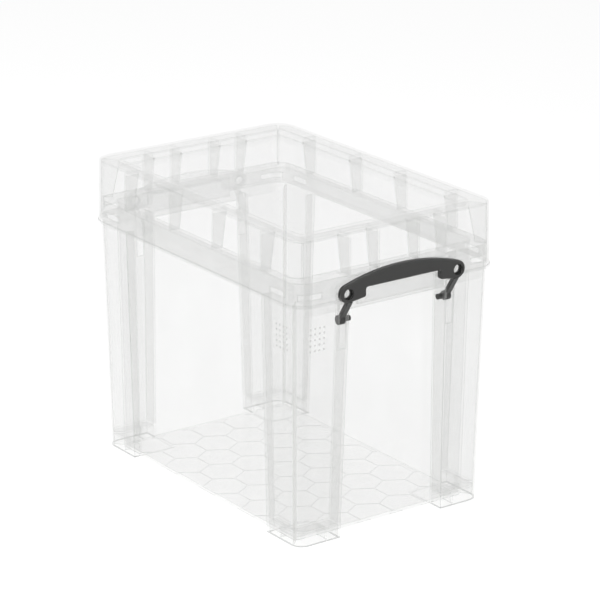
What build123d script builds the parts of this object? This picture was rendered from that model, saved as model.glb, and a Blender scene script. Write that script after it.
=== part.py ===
from build123d import *
import os
from math import atan2, degrees, sqrt

# A clear storage box for twelve-inch record sleeves: a deep tub on four corner pillars,
# a deep lid with a sunk top, and two clip handles that pivot in the pillars.
# Millimetres. X runs along the long side, Z is up, and the origin is the middle of
# the footprint, on the ground.

# Rim: outer outline of the skirt that the lid slips over
rim_length = 370.5
rim_width = 246.0
rim_radius = 19.5
shoulder_height = 256.0     # bottom edge of the skirt and of the lid
skirt_height = 24.0
skirt_wall = 2.0
flange_thickness = 2.2
apron_margin = 27.0         # deeper skirt at the ends, short of the corners by this much
apron_drop = 11.0
apron_corner = 8.0
window_from_end = 23.0      # openings in the skirt by each corner, on the long side
window_length = 24.5
window_from_side = 5.0      # and on the end, where it runs into the corner's curve
window_end_length = 25.0
window_above = 6.5          # above the shoulder
window_height = 6.0

# Tub: straight inner walls, measured inward from the rim's outline
tub_in_end = 19.25
tub_in_side = 10.5
tub_radius = 11.0
tub_lean = 4.5              # how far each wall draws in from the rim down to the floor
tub_wall = 2.2
floor_lift = 0.8            # underside of the floor above the ground
floor_thickness = 2.2
cell_width = 41.5           # honeycomb under the floor, across the flats of a cell
comb_rib = 1.2
comb_lift = 0.3             # its ribs stay clear of the ground

# Pillars: hollow corners that carry the feet
skin_lean = 6.5             # how far the outer skin draws in from the shoulder to the ground
pillar_wall = 2.0
pillar_side_ground = 61.25  # from the rim's end to the face that looks along a long side
pillar_side_shoulder = 61.75
pillar_end_ground = 58.5    # from the rim's side to the face that looks across an end
pillar_end_shoulder = 63.0
shelf_height = 14.0         # underside of the plate that closes each pillar above its foot
shelf_thickness = 2.0
web_from_end = 40.0         # middle of the web that ties the foot to the tub on the long side
web_from_side = 42.0        # and of the one on the end
web_thickness = 1.8
web_lift = 1.5

# Lid
lid_height = 68.5           # from its bottom edge to the top of its border
lid_lean = 1.6
lid_wall = 2.0
lid_slip = 1.2              # gap between the rim's skirt and the lid's bottom edge
lid_edge = 1.6              # bevel round the top, its height and its width
lid_edge_in = 1.2
lip_out = 0.8               # bead round the lid's bottom edge
lip_height = 2.5
lid_seat_gap = 0.3          # under the ribs that stand on the rim
border_side = 20.0          # flat border along the long sides of the sunk top
border_end = 24.0           # and across its ends
sunk_corner = 3.0
sunk_depth = 7.0
panel_thickness = 2.2
tab_width = 106.0           # lower part of the lid's edge at each end, under the grip
tab_drop = 6.0
tab_rise = 16.0             # height of the raised pad above the lid's bottom edge
fin_thickness = 2.0
fin_foot_side = 13.0        # depth of the ribs where they stand on the rim
fin_foot_end = 15.6
inner_fin_x = 39.0
inner_fin_y = 25.0

# Handles: heights are measured from the lid's bottom edge
grip_gap = 0.35             # between the lid's bead and the grip
grip_thickness = 6.0
crown_above = 28.5          # middle of the arch
under_above = 11.8          # underside of the grip, over the fingers
block_above = 2.0           # underside of the blocks at the ends of the grip
block_width = 21.8          # from an eye to the finger space
finger_corner = 2.5
eye_above = 8.4
eye_past_arm = 1.9
eye_radius = 9.3
eye_bore = 5.8
arm_width = 6.0
arm_thickness = 4.4
arm_top_out = 3.7           # middle of the arm's top, outward from the grip's inner face
arm_root = 1.5              # how far the arms run into the eyes
pivot_in = 6.7              # pivot axis inside the rim's outline
pivot_down = 22.5           # pivot axis below the shoulder
boss_radius = 5.0
peg_radius = 3.0
peg_clearance = 0.05
peg_past_wall = 5.0
arm_side_gap = 0.5
slot_below = 29.0           # slot in the pillar below the pivot axis, for the arm when it hangs
slot_above = 18.0
slot_side_gap = 2.0
edge_bevel = 1.4            # bevel round the grip's outer face
bevel_angle = 42.0

# Sizes that follow from the ones above
half_length = rim_length / 2
half_width = rim_width / 2
rim_height = shoulder_height + skirt_height
flange_bottom = rim_height - flange_thickness
floor_top = floor_lift + floor_thickness
tub_length = rim_length - 2 * tub_in_end
tub_width = rim_width - 2 * tub_in_side
lid_bottom = shoulder_height
lid_top = lid_bottom + lid_height
lid_out = lid_slip + lid_wall
lid_length = rim_length + 2 * lid_out
lid_width = rim_width + 2 * lid_out
lid_radius = rim_radius + lid_out
grip_inner_x = half_length + lid_out + lip_out + grip_gap
grip_outer_x = grip_inner_x + grip_thickness
pivot_x = half_length - pivot_in
pivot_z = shoulder_height - pivot_down
slot_bottom = pivot_z - slot_below
slot_top = pivot_z + slot_above


def tapered(length, width, radius, start, end, lean, inset=0.0):
    """Straight-sided body with a rounded outline at one height that draws in towards another."""
    outline = RectangleRounded(length - 2 * inset, width - 2 * inset, radius - inset)
    angle = degrees(atan2(lean, abs(end - start)))
    return extrude(Pos(0, 0, start) * outline, end - start, taper=angle)


def block(x0, x1, y0, y1, z0, z1):
    """Box between two corners."""
    size = Box(x1 - x0, y1 - y0, z1 - z0)
    return Pos((x0 + x1) / 2, (y0 + y1) / 2, (z0 + z1) / 2) * size


def all_corners(piece):
    """The piece in the +X +Y corner and its three mirror images."""
    pair = piece + mirror(piece, Plane.YZ)
    return pair + mirror(pair, Plane.XZ)


def pillar_x(height):
    """Face of a pillar that looks along the long side, at a height."""
    part = height / shoulder_height
    return half_length - pillar_side_ground + (pillar_side_ground - pillar_side_shoulder) * part


def pillar_y(height):
    """Face of a pillar that looks across an end, at a height."""
    part = height / shoulder_height
    return half_width - pillar_end_ground + (pillar_end_ground - pillar_end_shoulder) * part


arm_inner_y = pillar_y(slot_bottom) + pillar_wall + arm_side_gap
arm_outer_y = arm_inner_y + arm_width
eye_y = (arm_inner_y + arm_outer_y) / 2 + eye_past_arm
eye_z = lid_bottom + eye_above


def pillar_space(inset, low, high):
    """Space of the +X +Y pillar between two heights, with its two flat faces moved in."""
    side = Polyline((pillar_x(low) + inset, low), (half_length, low), (half_length, high),
                    (pillar_x(high) + inset, high), close=True)
    end = Polyline((pillar_y(low) + inset, low), (half_width, low), (half_width, high),
                   (pillar_y(high) + inset, high), close=True)
    along = extrude(Plane.XZ * make_face(side), -half_width)
    across = extrude(Plane.YZ * make_face(end), half_length)
    return along & across


def skin(inset=0.0):
    """Space inside the pillars' outer skin."""
    return tapered(rim_length, rim_width, rim_radius, shoulder_height, 0, skin_lean, inset)


def pillar():
    """One hollow corner pillar with its foot, still running through the tub's wall."""
    inside = skin(pillar_wall)
    upper = pillar_space(pillar_wall, shelf_height + shelf_thickness, shoulder_height)
    lower = pillar_space(pillar_wall, 0, shelf_height)
    outside = skin() & pillar_space(0, 0, shoulder_height)
    return outside - (inside & upper) - (inside & lower)


def rim():
    """Flange and hanging skirt round the tub's mouth, open over the pillars."""
    outline = RectangleRounded(rim_length, rim_width, rim_radius)
    inner = offset(outline, -skirt_wall)
    whole = extrude(Pos(0, 0, shoulder_height) * outline, skirt_height)
    under = extrude(Pos(0, 0, shoulder_height) * inner, skirt_height - flange_thickness)
    well = extrude(Pos(0, 0, shoulder_height) * inner, skirt_height)
    corner = block(pillar_x(shoulder_height) + pillar_wall, half_length,
                   pillar_y(shoulder_height) + pillar_wall, half_width,
                   shoulder_height, rim_height)
    return whole - under - all_corners(well & corner)


def rim_windows():
    """Openings in the skirt on both sides of the +X +Y corner."""
    low = shoulder_height + window_above
    high = low + window_height
    long_side = block(half_length - window_from_end - window_length, half_length - window_from_end,
                      half_width - 2 * skirt_wall, half_width, low, high)
    curve = rim_radius - window_from_side
    inner_x = half_length - rim_radius + sqrt((rim_radius - skirt_wall) ** 2 - curve ** 2)
    end = block(inner_x - skirt_wall, half_length, half_width - window_from_side - window_end_length,
                half_width - window_from_side, low, high)
    return long_side + end


def apron():
    """Deeper stretch of the skirt at the +X end, following the slope of the pillars."""
    face = RectangleRounded(rim_width - 2 * apron_margin, 2 * apron_drop, apron_corner)
    plate = extrude(Pos(0, 0, shoulder_height) * (Plane.YZ * face), half_length)
    return plate & (skin() - skin(skirt_wall))


def foot_webs():
    """Two short webs from the tub to the skin of the +X +Y foot, under its plate."""
    top = shelf_height + shelf_thickness / 2
    web_x = half_length - web_from_end
    web_y = half_width - web_from_side
    tub_x = half_length - tub_in_end - tub_lean - tub_wall / 2
    tub_y = half_width - tub_in_side - tub_lean - tub_wall / 2
    side = block(web_x - web_thickness / 2, web_x + web_thickness / 2, tub_y, half_width, web_lift, top)
    end = block(tub_x, half_length, web_y - web_thickness / 2, web_y + web_thickness / 2, web_lift, top)
    return (side + end) & skin(pillar_wall / 2)


def honeycomb():
    """Low ribs in a honeycomb on the underside of the floor."""
    step = cell_width * sqrt(3) / 2
    columns = int((tub_length / 2 - tub_lean) / step)
    cell = RegularPolygon((cell_width - comb_rib) / 2, 6, major_radius=False)
    cells = []
    for column in range(-columns, columns + 1):
        odd = column % 2
        rows = int((tub_width / 2 - tub_lean) / cell_width - odd / 2)
        for row in range(-rows - odd, rows + 1):
            cells.append(Pos(step * column, cell_width * (row + odd / 2), 0) * cell)
    outline = RectangleRounded(tub_length - 2 * tub_lean, tub_width - 2 * tub_lean, tub_radius - tub_lean)
    ribs = offset(outline, -comb_rib) - cells
    return [extrude(Pos(0, 0, comb_lift) * face, floor_lift - comb_lift) for face in ribs.faces()]


def pivot_cuts():
    """Slot for an arm and hole for its peg, at the +X +Y pillar."""
    arm_slot = block(pivot_x - boss_radius - slot_side_gap, half_length,
                     pillar_y(slot_bottom) + pillar_wall, arm_outer_y + slot_side_gap,
                     slot_bottom, slot_top)
    hole = Plane.XZ * Circle(peg_radius + peg_clearance)
    return arm_slot + Pos(pivot_x, 0, pivot_z) * extrude(hole, -arm_outer_y)


def box_body():
    """Tub, pillars, feet and rim: one moulding."""
    tub = tapered(tub_length, tub_width, tub_radius, rim_height, floor_lift, tub_lean)
    lean = tub_lean * (rim_height - floor_top) / (rim_height - floor_lift)
    inside = tapered(tub_length, tub_width, tub_radius, rim_height, floor_top, lean, tub_wall)
    body = tub + all_corners(pillar() + foot_webs()) + rim() + apron() + mirror(apron(), Plane.YZ)
    body = body - inside - all_corners(pivot_cuts() + rim_windows())
    return body + honeycomb()


def fin(half_span, depth_top, depth_bottom):
    """Slanting rib under the border, in the XZ plane, running inward from half_span."""
    top = lid_top - panel_thickness
    tray = lid_top - sunk_depth
    bottom = rim_height + lid_seat_gap
    inner_top = half_span - depth_top
    inner_bottom = half_span - depth_bottom
    points = [(half_span, top), (inner_top, top), (inner_top, tray), (inner_bottom, bottom),
              (half_span, bottom)]
    face = Plane.XZ * make_face(Polyline(*points, close=True))
    return Pos(0, fin_thickness / 2, 0) * extrude(face, fin_thickness)


def lid_fins():
    """Ribs on the long sides, the ends and the corners, not yet trimmed to the wall."""
    end = lid_length / 2 - lid_lean
    side = lid_width / 2 - lid_lean
    corner = lid_radius - lid_lean
    end_fin = fin(end, border_end - lid_wall, fin_foot_end)
    side_fin = fin(side, border_side - lid_wall, fin_foot_side)
    fins = []
    for sign in (-1, 1):
        for y in (inner_fin_y, pillar_y(shoulder_height)):
            for turn in (0, 180):
                fins.append(Rot(0, 0, turn) * Pos(0, sign * y, 0) * end_fin)
        for x in (inner_fin_x, pillar_x(shoulder_height)):
            for turn in (90, 270):
                fins.append(Rot(0, 0, turn) * Pos(0, sign * x, 0) * side_fin)
    reach = corner / sqrt(2)
    tray_x = end - border_end + lid_wall + sunk_corner
    tray_y = side - border_side + lid_wall + sunk_corner
    angle = degrees(atan2(side - corner + reach - tray_y, end - corner + reach - tray_x))
    middle = Pos(end - corner, side - corner, 0)
    return fins, middle * Rot(0, 0, angle) * fin(corner, corner, fin_foot_side)


def lid():
    """Deep lid: side wall with a bead, border, sunk panel, ribs and end tabs."""
    edge_bottom = lid_top - lid_edge
    lean = lid_lean * (edge_bottom - lid_bottom) / lid_height
    outside = tapered(lid_length, lid_width, lid_radius, lid_bottom, edge_bottom, lean)
    outside = outside + tapered(lid_length - 2 * lean, lid_width - 2 * lean, lid_radius - lean,
                                edge_bottom, lid_top, lid_edge_in)
    under_border = lid_top - panel_thickness
    lean = lid_lean * (under_border - lid_bottom) / lid_height
    hollow = tapered(lid_length, lid_width, lid_radius, lid_bottom, under_border, lean, lid_wall)
    sunk_outline = RectangleRounded(lid_length - 2 * (lid_lean + border_end),
                                    lid_width - 2 * (lid_lean + border_side), sunk_corner)
    sunk_top = lid_top - sunk_depth
    sunk = extrude(Pos(0, 0, sunk_top) * sunk_outline, sunk_depth)
    tray_bottom = sunk_top - panel_thickness
    tray = extrude(Pos(0, 0, tray_bottom) * offset(sunk_outline, lid_wall), lid_top - tray_bottom)
    bead = RectangleRounded(lid_length + 2 * lip_out, lid_width + 2 * lip_out, lid_radius + lip_out)
    bead = extrude(Pos(0, 0, lid_bottom) * bead, lip_height)
    fins, corner_fin = lid_fins()
    shell = outside + bead - hollow + tray
    for rib in fins:
        shell = shell + (rib & outside)
    shell = shell + all_corners(corner_fin & outside)
    tab = block(lid_length / 2 - lid_wall, lid_length / 2 + lip_out, -tab_width / 2, tab_width / 2,
                lid_bottom - tab_drop, lid_bottom + tab_rise)
    return shell + tab + mirror(tab, Plane.YZ) - sunk


def grip_profile():
    """Front view of the grip: an arch that runs tangent into a round eye at each end."""
    crown_z = lid_bottom + crown_above
    block_z = lid_bottom + block_above
    under_z = lid_bottom + under_above
    drop = crown_z - eye_z
    arch_radius = (eye_y ** 2 + drop ** 2 - eye_radius ** 2) / (2 * (drop - eye_radius))
    arch_z = crown_z - arch_radius
    stretch = arch_radius / (arch_radius - eye_radius)
    meet_y = eye_y * stretch
    meet_z = arch_z + (eye_z - arch_z) * stretch
    finger_y = eye_y - block_width
    eye_bottom = eye_z - eye_radius
    arch = ThreePointArc((-meet_y, meet_z), (0, crown_z), (meet_y, meet_z))
    right_end = ThreePointArc((meet_y, meet_z), (eye_y + eye_radius, eye_z), (eye_y, eye_bottom))
    left_end = ThreePointArc((-eye_y, eye_bottom), (-eye_y - eye_radius, eye_z), (-meet_y, meet_z))
    fingers = FilletPolyline((eye_y, eye_bottom), (finger_y, block_z), (finger_y, under_z),
                             (-finger_y, under_z), (-finger_y, block_z), (-eye_y, eye_bottom),
                             radius=finger_corner)
    return make_face(arch + right_end + fingers + left_end)


def handle():
    """One-piece clip handle at the +X end: grip, eyes, two leaning arms and their pegs."""
    front = Plane(origin=(grip_inner_x, 0, 0), x_dir=(0, 1, 0), z_dir=(1, 0, 0))
    straight = grip_thickness - edge_bevel
    body = extrude(front * grip_profile(), straight)
    body = body + extrude(front.offset(straight) * grip_profile(), edge_bevel, taper=bevel_angle)
    for y in (-eye_y, eye_y):
        bore = Pos(0, y, eye_z) * (Plane.YZ * Circle(eye_bore))
        body = body - extrude(bore, grip_outer_x)
    rise = eye_z - eye_radius + arm_root - pivot_z
    reach = grip_inner_x + arm_top_out - pivot_x
    length = sqrt(rise ** 2 + reach ** 2)
    lean = Plane(origin=(pivot_x, 0, pivot_z), x_dir=(reach, 0, rise), z_dir=(0, -1, 0))
    side = lean * (Pos(length / 2, 0, 0) * Rectangle(length, arm_thickness))
    boss = Pos(pivot_x, 0, pivot_z) * (Plane.XZ * Circle(boss_radius))
    peg = Pos(pivot_x, 0, pivot_z) * (Plane.XZ * Circle(peg_radius))
    peg_end = pillar_y(pivot_z) - peg_past_wall
    for sign in (-1, 1):
        arm = extrude(side + boss, arm_width / 2, both=True)
        pin = extrude(peg, (arm_outer_y - peg_end) / 2, both=True)
        body = body + Pos(0, sign * (arm_inner_y + arm_outer_y) / 2, 0) * arm
        body = body + Pos(0, sign * (peg_end + arm_outer_y) / 2, 0) * pin
    return body


os.makedirs("parts", exist_ok=True)
right = handle()
export_step(box_body(), "parts/box_body.step")
export_step(lid(), "parts/lid.step")
export_step(right, "parts/right_handle.step")
export_step(mirror(right, Plane.YZ), "parts/left_handle.step")
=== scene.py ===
import math

import bmesh
import bpy
from mathutils import Matrix, Quaternion, Vector


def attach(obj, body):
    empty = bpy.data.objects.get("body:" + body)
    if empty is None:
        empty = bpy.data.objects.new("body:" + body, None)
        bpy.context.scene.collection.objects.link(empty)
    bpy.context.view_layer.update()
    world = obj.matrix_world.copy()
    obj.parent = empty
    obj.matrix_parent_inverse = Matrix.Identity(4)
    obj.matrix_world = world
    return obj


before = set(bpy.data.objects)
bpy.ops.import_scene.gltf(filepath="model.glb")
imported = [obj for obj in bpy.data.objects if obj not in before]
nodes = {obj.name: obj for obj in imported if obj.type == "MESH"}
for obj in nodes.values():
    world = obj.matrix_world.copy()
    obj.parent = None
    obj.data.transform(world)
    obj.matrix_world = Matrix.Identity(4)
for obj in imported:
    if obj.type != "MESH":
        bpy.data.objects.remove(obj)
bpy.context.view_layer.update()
mm = 0.001
noiseSpan = {"From Min": 0.3, "From Max": 0.7}   # Blender's noise mostly stays between these


def hexToLinear(code):
    # an sRGB hex colour as the linear values that shaders take
    parts = [int(code[i:i + 2], 16) / 255 for i in (1, 3, 5)]
    return [v / 12.92 if v <= 0.04045 else ((v + 0.055) / 1.055) ** 2.4 for v in parts] + [1.0]


def addNode(tree, kind, settings=None, links=None):
    # settings name a node's options or its sockets, links give what feeds each socket
    made = tree.nodes.new(kind)
    for name, value in (settings or {}).items():
        if isinstance(name, str) and hasattr(made, name):
            setattr(made, name, value)
        else:
            made.inputs[name].default_value = value
    for name, source in (links or {}).items():
        tree.links.new(source, made.inputs[name])
    return made


def newMaterial(name):
    made = bpy.data.materials.new(name)
    made.use_nodes = True
    made.node_tree.nodes.clear()
    return made, made.node_tree


def addMesh(name, mesh, material):
    # a finished bmesh as an object in the scene
    data = bpy.data.meshes.new(name)
    mesh.to_mesh(data)
    mesh.free()
    data.materials.append(material)
    made = bpy.data.objects.new(name, data)
    bpy.context.scene.collection.objects.link(made)
    return made


# the camera stands where the photograph was taken from
camera = {
    "azimuth": 53.85,        # degrees from looking along +Y towards looking along -X
    "elevation": 18.77,
    "distance": 3.1043,      # metres from the point below
    "lookNear": (0.00223, 0.02953, 0.18613),
    "aside": -0.01408,       # metres along the picture's width, as the photo has the box
    "roll": 0.18,
    "lens": 176.6,
    "sensor": 36.0,
    "clip": (0.1, 50.0),
}


def makeCamera(c):
    a, e = math.radians(c["azimuth"]), math.radians(c["elevation"])
    back = Vector((math.sin(a) * math.cos(e), -math.cos(a) * math.cos(e), math.sin(e)))
    right = Vector((math.cos(a), math.sin(a), 0))
    near = Vector(c["lookNear"])
    place = near + back * c["distance"]
    aim = near + right * c["aside"]
    data = bpy.data.cameras.new("camera")
    data.lens = c["lens"]
    data.sensor_width = c["sensor"]
    data.clip_start, data.clip_end = c["clip"]
    made = bpy.data.objects.new("camera", data)
    bpy.context.scene.collection.objects.link(made)
    made.location = place
    made.rotation_mode = "QUATERNION"
    roll = Quaternion((0, 0, 1), math.radians(c["roll"]))
    made.rotation_quaternion = (aim - place).to_track_quat("-Z", "Y") @ roll
    bpy.context.scene.camera = made


makeCamera(camera)
print("camera set")


# clear polypropylene, injection moulded: a little cloudy, so that it turns milky where layers
# lie behind each other or are seen at a slant, with a soft shine and hardly any colour
clearPlastic = {
    "tint": "#fefefe",          # what one surface lets through, the more layers the greyer
    "deepTint": "#b9bab8",      # what a long way through the plastic turns to
    "density": 9.0,
    "milk": "#e6e7e5",
    "backlit": 0.5,             # share of the milk's light that comes from behind the surface
    "cloud": 0.05,              # share of the light that each surface scatters, seen straight on
    "slantCloud": 0.13,         # and how much more where it is seen at a slant
    "slantBlend": 0.35,         # how early a slant counts, and how sharply it grows
    "slantPower": 2.5,
    "edgeTone": "#a6a8a6",      # edges are rounded, bend the light aside and show as a grey line
    "edgeCloud": 0.6,
    "edge": 0.8,                # mm, width of that line
    "edgeTurn": (0.995, 0.85),  # cosine of the rounding's turn where the line starts and is full
    "combEdge": 0.35,           # the low honeycomb under the floor shows less of it
    "mattCloud": 0.12,          # the pillars' side walls and the lid's ribs leave the mould matt
    "skirtCloud": 0.07,         # and so does the rim's skirt, a little
    "footShade": 0.14,          # painted shade: the lower edge of the feet shows as a grey line
    "panelClear": 0.6,          # the lid's polished top panel has this much less of the cloud
    "index": 1.49,
    "roughness": 0.12,
    "roughSpread": (0.7, 1.5),  # least and most of it, in the flow marks
    "shadowPass": 0.95,
    "flowSize": 60.0,           # mm across the cloudy flow marks
    "flowStretch": 0.6,         # they run up the walls
    "flowAmount": 0.15,
    "scuffSize": 1.6,           # mm, real scuffs are finer but would not show
    "scuffDepth": 0.02,         # mm
    "scuffStrength": 0.2,
}


# where the finish of the mouldings changes: limits of the distance from the middle along X and
# Y and of the height, mm, and the axis that the faces look along
zones = {
    "matt": [
        ((123.2, 126.4), (108.2, 127), (16, 256), "X"),     # side walls of the pillars
        ((161.7, 190), (59.7, 66.8), (16, 256), "Y"),
        ((0, 160), (108.5, 125), (281, 318), "X"),          # ribs of the lid
        ((166, 187), (0, 100), (281, 318), "Y"),
    ],
    "skirt": [
        ((0, 190), (120.5, 123.3), (256.5, 279.5), "Y"),    # outside and inside of the skirt
        ((182.8, 185.6), (0, 127), (245.5, 279.5), "X"),
    ],
    "panel": [((0, 165), (0, 107), (314, 319), "Z")],
    "ground": [((0, 190), (0, 127), (-1, 0.85), None)],     # honeycomb and edge of the feet
    "comb": [((0, 161.7), (0, 108.2), (-1, 0.85), None)],
}


def makeZone(tree, place, normal, boxes):
    # 1 in any of the boxes, less on faces that lean away from their axis
    size = addNode(tree, "ShaderNodeVectorMath", {"operation": "ABSOLUTE"}, {0: place})
    size = addNode(tree, "ShaderNodeSeparateXYZ", {}, {0: size.outputs[0]})
    facing = addNode(tree, "ShaderNodeVectorMath", {"operation": "ABSOLUTE"}, {0: normal})
    facing = addNode(tree, "ShaderNodeSeparateXYZ", {}, {0: facing.outputs[0]})
    total = None
    for *limits, axis in boxes:
        inside = facing.outputs[axis] if axis else None
        for value, (low, high) in zip(size.outputs, limits):
            near = addNode(tree, "ShaderNodeMath", {
                "operation": "COMPARE", 1: (low + high) / 2 * mm, 2: (high - low) / 2 * mm},
                {0: value}).outputs[0]
            inside = near if inside is None else addNode(
                tree, "ShaderNodeMath", {"operation": "MULTIPLY"},
                {0: inside, 1: near}).outputs[0]
        total = inside if total is None else addNode(
            tree, "ShaderNodeMath", {"operation": "ADD"}, {0: total, 1: inside}).outputs[0]
    return total


def makeClearPlastic(name, c):
    made, tree = newMaterial(name)
    place = addNode(tree, "ShaderNodeTexCoord").outputs["Object"]
    flat = addNode(tree, "ShaderNodeNewGeometry")

    # flow marks from the mould, and fine scuffs
    stretched = addNode(tree, "ShaderNodeMapping", {"Scale": (1, 1, c["flowStretch"])},
                        {"Vector": place})
    flow = addNode(tree, "ShaderNodeTexNoise", {
        "Scale": 1 / (c["flowSize"] * mm), "Detail": 3.0, "Roughness": 0.55},
        {"Vector": stretched.outputs[0]})
    scuffs = addNode(tree, "ShaderNodeTexNoise", {
        "Scale": 1 / (c["scuffSize"] * mm), "Detail": 4.0, "Roughness": 0.7},
        {"Vector": place})
    bump = addNode(tree, "ShaderNodeBump", {
        "Strength": c["scuffStrength"], "Distance": c["scuffDepth"] * mm},
        {"Height": scuffs.outputs[0]})

    # light goes straight through, with a shine on the outer faces
    least, most = c["roughSpread"]
    sheen = addNode(tree, "ShaderNodeMapRange", {
        **noiseSpan, "To Min": c["roughness"] * least, "To Max": c["roughness"] * most},
        {"Value": flow.outputs[0]})
    mirror = addNode(tree, "ShaderNodeFresnel", {"IOR": c["index"]}, {"Normal": bump.outputs[0]})
    outside = addNode(tree, "ShaderNodeMath", {"operation": "SUBTRACT", 0: 1.0},
                      {1: flat.outputs["Backfacing"]})
    mirror = addNode(tree, "ShaderNodeMath", {"operation": "MULTIPLY"},
                     {0: mirror.outputs[0], 1: outside.outputs[0]})
    shine = addNode(tree, "ShaderNodeBsdfAnisotropic", {"Color": (1, 1, 1, 1)},
                    {"Roughness": sheen.outputs[0], "Normal": bump.outputs[0]})
    straight = addNode(tree, "ShaderNodeBsdfTransparent", {"Color": hexToLinear(c["tint"])})
    clear = addNode(tree, "ShaderNodeMixShader", {}, {
        0: mirror.outputs[0], 1: straight.outputs[0], 2: shine.outputs[0]})

    # the line along each edge, where a rounded normal turns away from the flat one
    rounded = addNode(tree, "ShaderNodeBevel", {"samples": 4, "Radius": c["edge"] * mm})
    turn = addNode(tree, "ShaderNodeVectorMath", {"operation": "DOT_PRODUCT"},
                   {0: rounded.outputs[0], 1: flat.outputs["Normal"]})
    start, full = c["edgeTurn"]
    edge = addNode(tree, "ShaderNodeMapRange", {
        "From Min": start, "From Max": full, "To Min": 0.0, "To Max": c["edgeCloud"]},
        {"Value": turn.outputs["Value"]})

    # milk, greyer on the edges and in the painted shade along the feet's lower edge
    matt, skirt, panel, ground, comb = [
        makeZone(tree, place, flat.outputs["Normal"], zones[zone])
        for zone in ("matt", "skirt", "panel", "ground", "comb")]
    # painted shade along the lower edge of the feet, leaving out the honeycomb
    foot = addNode(tree, "ShaderNodeMath", {"operation": "SUBTRACT"},
                   {0: ground, 1: comb}).outputs[0]
    grey = addNode(tree, "ShaderNodeMath", {"operation": "MAXIMUM"},
                   {0: edge.outputs[0], 1: foot})
    tone = addNode(tree, "ShaderNodeMix", {
        "data_type": "RGBA", 6: hexToLinear(c["milk"]), 7: hexToLinear(c["edgeTone"])},
        {0: grey.outputs[0]})
    front = addNode(tree, "ShaderNodeBsdfDiffuse", {},
                    {"Color": tone.outputs[2], "Normal": bump.outputs[0]})
    behind = addNode(tree, "ShaderNodeBsdfTranslucent", {},
                     {"Color": tone.outputs[2], "Normal": bump.outputs[0]})
    milk = addNode(tree, "ShaderNodeMixShader", {0: c["backlit"]},
                   {1: front.outputs[0], 2: behind.outputs[0]})

    # how much milk: more at a slant and in the flow marks, less on the polished panel, more on
    # matt walls, the skirt, the painted shade on the feet's lower edge and along edges
    slant = addNode(tree, "ShaderNodeLayerWeight", {"Blend": c["slantBlend"]})
    steep = addNode(tree, "ShaderNodeMath", {"operation": "POWER", 1: c["slantPower"]},
                    {0: slant.outputs["Facing"]})
    cloud = addNode(tree, "ShaderNodeMath", {
        "operation": "MULTIPLY_ADD", 1: c["slantCloud"], 2: c["cloud"]}, {0: steep.outputs[0]})
    marks = addNode(tree, "ShaderNodeMapRange", {
        **noiseSpan, "To Min": 1 - c["flowAmount"], "To Max": 1 + c["flowAmount"]},
        {"Value": flow.outputs[0]})
    polish = addNode(tree, "ShaderNodeMath", {
        "operation": "MULTIPLY_ADD", 1: -c["panelClear"], 2: 1.0}, {0: panel})
    for factor in (marks, polish):
        cloud = addNode(tree, "ShaderNodeMath", {"operation": "MULTIPLY"},
                        {0: cloud.outputs[0], 1: factor.outputs[0]})
    for share, zone in (("mattCloud", matt), ("skirtCloud", skirt), ("footShade", foot)):
        cloud = addNode(tree, "ShaderNodeMath", {"operation": "MULTIPLY_ADD", 1: c[share]},
                        {0: zone, 2: cloud.outputs[0]})
    faint = addNode(tree, "ShaderNodeMath", {
        "operation": "MULTIPLY_ADD", 1: c["combEdge"] - 1, 2: 1.0}, {0: comb})
    line = addNode(tree, "ShaderNodeMath", {"operation": "MULTIPLY"},
                   {0: edge.outputs[0], 1: faint.outputs[0]})
    cloud = addNode(tree, "ShaderNodeMath", {"operation": "ADD", "use_clamp": True},
                    {0: cloud.outputs[0], 1: line.outputs[0]})
    surface = addNode(tree, "ShaderNodeMixShader", {}, {
        0: cloud.outputs[0], 1: clear.outputs[0], 2: milk.outputs[0]})

    # a light shadow, and a little grey in the depth of the plastic
    through = addNode(tree, "ShaderNodeBsdfTransparent", {
        "Color": [c["shadowPass"]] * 3 + [1.0]})
    path = addNode(tree, "ShaderNodeLightPath")
    mixed = addNode(tree, "ShaderNodeMixShader", {}, {
        0: path.outputs["Is Shadow Ray"], 1: surface.outputs[0], 2: through.outputs[0]})
    depth = addNode(tree, "ShaderNodeVolumeAbsorption", {
        "Color": hexToLinear(c["deepTint"]), "Density": c["density"]})
    addNode(tree, "ShaderNodeOutputMaterial", {}, {
        "Surface": mixed.outputs[0], "Volume": depth.outputs[0]})
    return made


# handle: dark grey polypropylene from a spark-eroded mould, so a fine grain with a satin sheen,
# and a painted highlight in a paler colour along the edges
handlePlastic = {
    "colour": "#323231",
    # paler colour of the painted highlight along the edges
    "edgeHighlight": "#6b6b69",
    "edgeHighlightMost": 0.7,         # share of it on an edge
    "index": 1.49,
    "roughness": 0.42,
    "roughSpread": 0.07,       # more and less of it, in patches
    "grain": 0.5,              # mm between the pits, about twice the real ones so that they show
    "grainDepth": 0.05,        # mm
    "grainStrength": 0.35,
    "edge": 0.8,               # mm, width of the painted highlight along an edge
    "edgeTurn": (0.97, 0.8),   # cosine of the rounding's turn where the line starts and is full
    "patchSize": 14.0,         # mm across the faint paler and darker patches
    "hollow": "#101010",       # painted shade in the eyes and corners, where light hardly comes
    "hollowSize": 7.0,         # mm, reach of the painted shade
    "hollowOpen": (0.75, 0.35),  # share of open sky where the painted shade starts and is darkest
}


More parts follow.
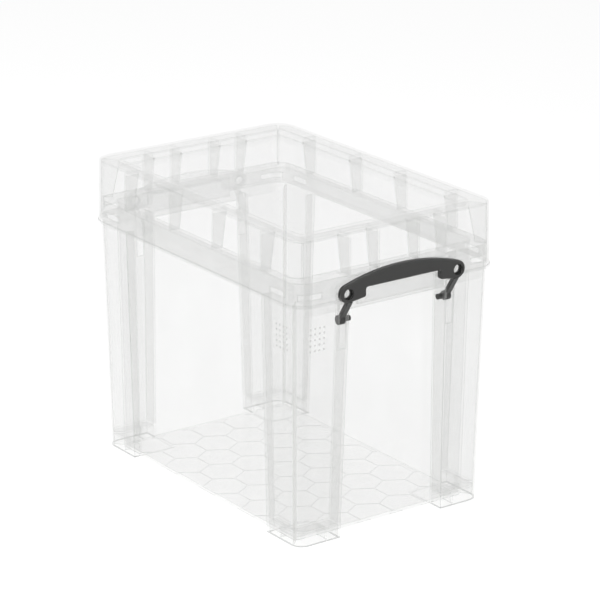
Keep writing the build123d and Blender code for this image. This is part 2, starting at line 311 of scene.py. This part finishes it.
def makeHandlePlastic(name, c):
    made, tree = newMaterial(name)
    place = addNode(tree, "ShaderNodeTexCoord").outputs["Object"]
    grain = addNode(tree, "ShaderNodeTexNoise", {
        "Scale": 1 / (c["grain"] * mm), "Detail": 2.0}, {"Vector": place})
    patches = addNode(tree, "ShaderNodeTexNoise", {
        "Scale": 1 / (c["patchSize"] * mm), "Detail": 4.0}, {"Vector": place})
    bump = addNode(tree, "ShaderNodeBump", {
        "Strength": c["grainStrength"], "Distance": c["grainDepth"] * mm},
        {"Height": grain.outputs[0]})

    # painted highlight on the edges, in patches, where a rounded normal turns away from the flat
    # one
    soft = addNode(tree, "ShaderNodeBevel", {"Radius": c["edge"] * mm},
                   {"Normal": bump.outputs[0]})
    hard = addNode(tree, "ShaderNodeNewGeometry")
    turn = addNode(tree, "ShaderNodeVectorMath", {"operation": "DOT_PRODUCT"},
                   {0: soft.outputs[0], 1: hard.outputs["Normal"]})
    start, full = c["edgeTurn"]
    edge = addNode(tree, "ShaderNodeMapRange", {
        "From Min": start, "From Max": full, "To Min": 0.0, "To Max": c["edgeHighlightMost"]},
        {"Value": turn.outputs["Value"]})
    highlightShare = addNode(tree, "ShaderNodeMath", {"operation": "MULTIPLY"},
                   {0: edge.outputs[0], 1: patches.outputs[0]})
    colour = addNode(tree, "ShaderNodeMix", {
        "data_type": "RGBA", 6: hexToLinear(c["colour"]), 7: hexToLinear(c["edgeHighlight"])},
        {0: highlightShare.outputs[0]})

    # painted shade in hollows, darkest where little open sky is around
    sky = addNode(tree, "ShaderNodeAmbientOcclusion", {
        "samples": 8, "only_local": True, "Distance": c["hollowSize"] * mm})
    start, full = c["hollowOpen"]
    shadeShare = addNode(tree, "ShaderNodeMapRange", {
        "From Min": start, "From Max": full, "To Min": 0.0, "To Max": 1.0},
        {"Value": sky.outputs["AO"]})
    colour = addNode(tree, "ShaderNodeMix", {"data_type": "RGBA", 7: hexToLinear(c["hollow"])},
                     {0: shadeShare.outputs[0], 6: colour.outputs[2]})

    sheen = addNode(tree, "ShaderNodeMapRange", {
        **noiseSpan, "To Min": c["roughness"] - c["roughSpread"],
        "To Max": c["roughness"] + c["roughSpread"]}, {"Value": patches.outputs[0]})
    body = addNode(tree, "ShaderNodeBsdfPrincipled", {"IOR": c["index"]}, {
        "Base Color": colour.outputs[2], "Roughness": sheen.outputs[0],
        "Normal": soft.outputs[0]})
    addNode(tree, "ShaderNodeOutputMaterial", {}, {"Surface": body.outputs[0]})
    return made


def dress(name, material):
    o = nodes[name]
    o.data.materials.clear()
    o.data.materials.append(material)


cloudy = dict(clearPlastic, milk="#dcdedd")   # the far handle shows as pale grey
clearMaterial = makeClearPlastic("clearPolypropyleneMoulded", clearPlastic)
cloudyMaterial = makeClearPlastic("cloudyPolypropyleneMoulded", cloudy)
handleMaterial = makeHandlePlastic("darkPolypropyleneSatin", handlePlastic)
dress("box_body", clearMaterial)
dress("lid", clearMaterial)
dress("right_handle", handleMaterial)
dress("left_handle", cloudyMaterial)
print("materials set")


# small moulded dots on both faces of the near corner, above the middle of the pillar
dots = {
    "alongX": [148.6, 154.4, 160.2, 166.0],    # mm, on the long side
    "alongY": [-106.7, -101.2, -95.7, -90.2],  # mm, on the end
    "heights": [209.2, 215.0, 220.8, 226.6, 232.4],
    "radius": 1.2,
    "rise": 0.3,
    "sunk": 0.15,                              # mm that a dot reaches into the wall
    "crown": [(1.0, 0.0), (0.8, 0.7), (0.4, 0.97)],   # shares of radius and rise
    "sides": 14,
    "rimLength": 370.5, "rimWidth": 246.0,     # mm, the pillar's skin at its shoulder
    "shoulder": 256.0, "lean": 6.5,            # its height, and how far it draws in below it
}


def makeDots(c, material):
    mesh = bmesh.new()
    spots = []
    for z in c["heights"]:
        drawn = c["lean"] * (c["shoulder"] - z) / c["shoulder"]
        for x in c["alongX"]:
            spots.append((Vector((x, -(c["rimWidth"] / 2 - drawn), z)), Vector((0, -1, 0))))
        for y in c["alongY"]:
            spots.append((Vector((c["rimLength"] / 2 - drawn, y, z)), Vector((1, 0, 0))))
    tilt = math.atan2(c["lean"], c["shoulder"])
    down = Vector((0, 0, -1)) * math.sin(tilt)
    profile = [(c["radius"], -c["sunk"])]
    profile += [(c["radius"] * wide, c["rise"] * high) for wide, high in c["crown"]]
    turns = [2 * math.pi * k / c["sides"] for k in range(c["sides"])]
    for spot, out in spots:
        out = (out * math.cos(tilt) + down).normalized()
        stand = Matrix.Translation(spot) @ out.to_track_quat("Z", "Y").to_matrix().to_4x4()
        loops = [[mesh.verts.new((stand @ Vector((r * math.cos(t), r * math.sin(t), h))) * mm)
                  for t in turns] for r, h in profile]
        for low, high in zip(loops, loops[1:]):
            for k in range(c["sides"]):
                n = (k + 1) % c["sides"]
                mesh.faces.new((low[k], low[n], high[n], high[k]))
        mesh.faces.new(loops[-1])
        mesh.faces.new(list(reversed(loops[0])))
    for face in mesh.faces:
        face.smooth = True
    made = addMesh("cornerDots", mesh, material)
    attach(made, "box")


frosted = dict(clearPlastic, cloud=0.2, edgeCloud=0.2)   # the dots are matt
makeDots(dots, makeClearPlastic("frostedPolypropyleneMoulded", frosted))
print("dots made")


# thin upright web in each hollow pillar, from the tub's corner out to the corner of the skin
cornerWeb = {
    "thickness": 1.8,
    "spans": [(1.5, 14.0), (16.0, 256.0)],   # mm, below and above the plate over the foot
    "steps": 4,
    "tubCentre": (155.0, 101.5), "tubRadius": 11.0, "tubLean": 4.5, "tubTop": 280.0,
    "skinCentre": (165.75, 103.5), "skinRadius": 17.5, "skinLean": 6.5, "skinTop": 256.0,
    "root": 0.1,                             # mm that it runs into both walls
}


def makeCornerWebs(c, material):
    mesh = bmesh.new()
    slope = math.sqrt(0.5)
    outward, across = Vector((slope, slope)), Vector((slope, -slope))
    half = across * c["thickness"] / 2
    for signX, signY in ((1, 1), (1, -1), (-1, 1), (-1, -1)):
        for bottom, top in c["spans"]:
            rings = []
            for k in range(c["steps"] + 1):
                z = bottom + (top - bottom) * k / c["steps"]
                tub = c["tubRadius"] - c["tubLean"] * (c["tubTop"] - z) / c["tubTop"]
                skin = c["skinRadius"] - c["skinLean"] * (c["skinTop"] - z) / c["skinTop"]
                inner = Vector(c["tubCentre"]) + outward * tub
                # the diagonal from the tub's corner meets the round inside of the skin
                gap = inner - Vector(c["skinCentre"])
                along = gap.dot(outward)
                reach = math.sqrt(along ** 2 - gap.length_squared + skin ** 2) - along
                outer = inner + outward * (reach + c["root"])
                inner = inner - outward * c["root"]
                ring = [inner - half, outer - half, outer + half, inner + half]
                rings.append([mesh.verts.new((signX * v.x * mm, signY * v.y * mm, z * mm))
                              for v in ring])
            for low, high in zip(rings, rings[1:]):
                for k in range(4):
                    n = (k + 1) % 4
                    mesh.faces.new((low[k], low[n], high[n], high[k]))
            mesh.faces.new(list(reversed(rings[0])))
            mesh.faces.new(rings[-1])
    bmesh.ops.recalc_face_normals(mesh, faces=mesh.faces)
    made = addMesh("cornerWebs", mesh, material)
    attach(made, "box")


milky = dict(clearPlastic, milk="#f4f5f3", edgeTone="#c8cac8",
             slantCloud=0.8, edgeCloud=0.2)   # a milky strip when seen edge on
makeCornerWebs(cornerWeb, makeClearPlastic("milkyPolypropyleneMoulded", milky))
print("corner webs made")


# lip inside each eye of the grips: the eye is wide in front and narrower behind
eyeLip = {
    "eyeY": 68.305, "eyeZ": 264.4,   # mm, middle of an eye
    "innerX": 189.6,                 # face of the grip on the lid's side
    "bore": 5.85, "hole": 4.4,       # radius in front and behind
    "depth": 2.2, "bevel": 0.4,
    "sides": 48,
}


def makeEyeLips(name, side, material, body, c):
    mesh = bmesh.new()
    profile = [(c["bore"], 0.0), (c["hole"] + c["bevel"], 0.0), (c["hole"], c["bevel"]),
               (c["hole"], c["depth"] - c["bevel"]), (c["hole"] + c["bevel"], c["depth"]),
               (c["bore"], c["depth"])]
    for end in (-1, 1):
        loops = []
        for k in range(c["sides"]):
            turn = 2 * math.pi * k / c["sides"]
            loops.append([mesh.verts.new((side * (c["innerX"] + out) * mm,
                                          (end * c["eyeY"] + r * math.cos(turn)) * mm,
                                          (c["eyeZ"] + r * math.sin(turn)) * mm))
                          for r, out in profile])
        for k, loop in enumerate(loops):
            after = loops[(k + 1) % c["sides"]]
            for i in range(len(profile)):
                j = (i + 1) % len(profile)
                mesh.faces.new((loop[i], loop[j], after[j], after[i]))
    bmesh.ops.recalc_face_normals(mesh, faces=mesh.faces)
    made = addMesh(name, mesh, material)
    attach(made, body)


makeEyeLips("rightEyeLips", 1, handleMaterial, "right_handle", eyeLip)
makeEyeLips("leftEyeLips", -1, cloudyMaterial, "left_handle", eyeLip)
print("eye lips made")


# studio: pale floor, white surroundings, two soft lamps
studio = {
    "floorSize": 12.0,
    "floorDrop": 0.3,        # mm below the feet
    "floorColour": "#f4f4f4",
    "floorGlow": 0.38,       # lifts the floor to the white of the surroundings where it is seen
    "skyLight": 0.6,
    "lampAim": (0, 0, 0.15),
    "lamps": {               # place and size in metres, power in watts
        "softboxAbove": {"place": (0.4, -0.5, 2.2), "size": (1.6, 1.6), "power": 10.0},
        "softboxLeft": {"place": (-0.8, -2.2, 1.0), "size": (1.0, 1.4), "power": 10.0},
    },
}


def addSeen(tree):
    # 1 where the camera, a reflection or the light through the plastic meets it
    path = addNode(tree, "ShaderNodeLightPath")
    seen = path.outputs["Is Camera Ray"]
    for kind in ("Is Glossy Ray", "Is Transmission Ray"):
        seen = addNode(tree, "ShaderNodeMath", {"operation": "MAXIMUM"},
                       {0: seen, 1: path.outputs[kind]}).outputs[0]
    return seen


def makeFloor(c):
    half = c["floorSize"] / 2
    material, tree = newMaterial("paperBackdropMatt")
    paper = addNode(tree, "ShaderNodeBsdfDiffuse", {"Color": hexToLinear(c["floorColour"])})
    strength = addNode(tree, "ShaderNodeMath", {"operation": "MULTIPLY", 1: c["floorGlow"]},
                       {0: addSeen(tree)})
    glow = addNode(tree, "ShaderNodeEmission", {}, {"Strength": strength.outputs[0]})
    both = addNode(tree, "ShaderNodeAddShader", {}, {0: paper.outputs[0], 1: glow.outputs[0]})
    addNode(tree, "ShaderNodeOutputMaterial", {}, {"Surface": both.outputs[0]})
    mesh = bmesh.new()
    mesh.faces.new([mesh.verts.new((x, y, 0)) for x, y in (
        (-half, -half), (half, -half), (half, half), (-half, half))])
    made = addMesh("floor", mesh, material)
    made.location.z = -c["floorDrop"] * mm


def makeWorld(c):
    world = bpy.data.worlds.new("studio")
    world.use_nodes = True
    tree = world.node_tree
    tree.nodes.clear()
    white = addNode(tree, "ShaderNodeBackground", {"Color": (1, 1, 1, 1), "Strength": 1.0})
    light = addNode(tree, "ShaderNodeBackground", {
        "Color": (1, 1, 1, 1), "Strength": c["skyLight"]})
    mixed = addNode(tree, "ShaderNodeMixShader", {}, {
        0: addSeen(tree), 1: light.outputs[0], 2: white.outputs[0]})
    addNode(tree, "ShaderNodeOutputWorld", {}, {"Surface": mixed.outputs[0]})
    bpy.context.scene.world = world


def makeLamp(name, lamp, aim):
    data = bpy.data.lights.new(name, "AREA")
    data.shape = "RECTANGLE"
    data.size, data.size_y = lamp["size"]
    data.energy = lamp["power"]
    made = bpy.data.objects.new(name, data)
    bpy.context.scene.collection.objects.link(made)
    made.location = lamp["place"]
    made.rotation_mode = "QUATERNION"
    made.rotation_quaternion = (Vector(aim) - Vector(lamp["place"])).to_track_quat("-Z", "Y")


makeFloor(studio)
makeWorld(studio)
for name, lamp in studio["lamps"].items():
    makeLamp(name, lamp, studio["lampAim"])

scene = bpy.context.scene
scene.view_settings.view_transform = "Standard"
scene.cycles.max_bounces = 40          # a ray crosses many clear walls
scene.cycles.transmission_bounces = 36
scene.cycles.glossy_bounces = 12
scene.cycles.transparent_max_bounces = 64
print("studio set")
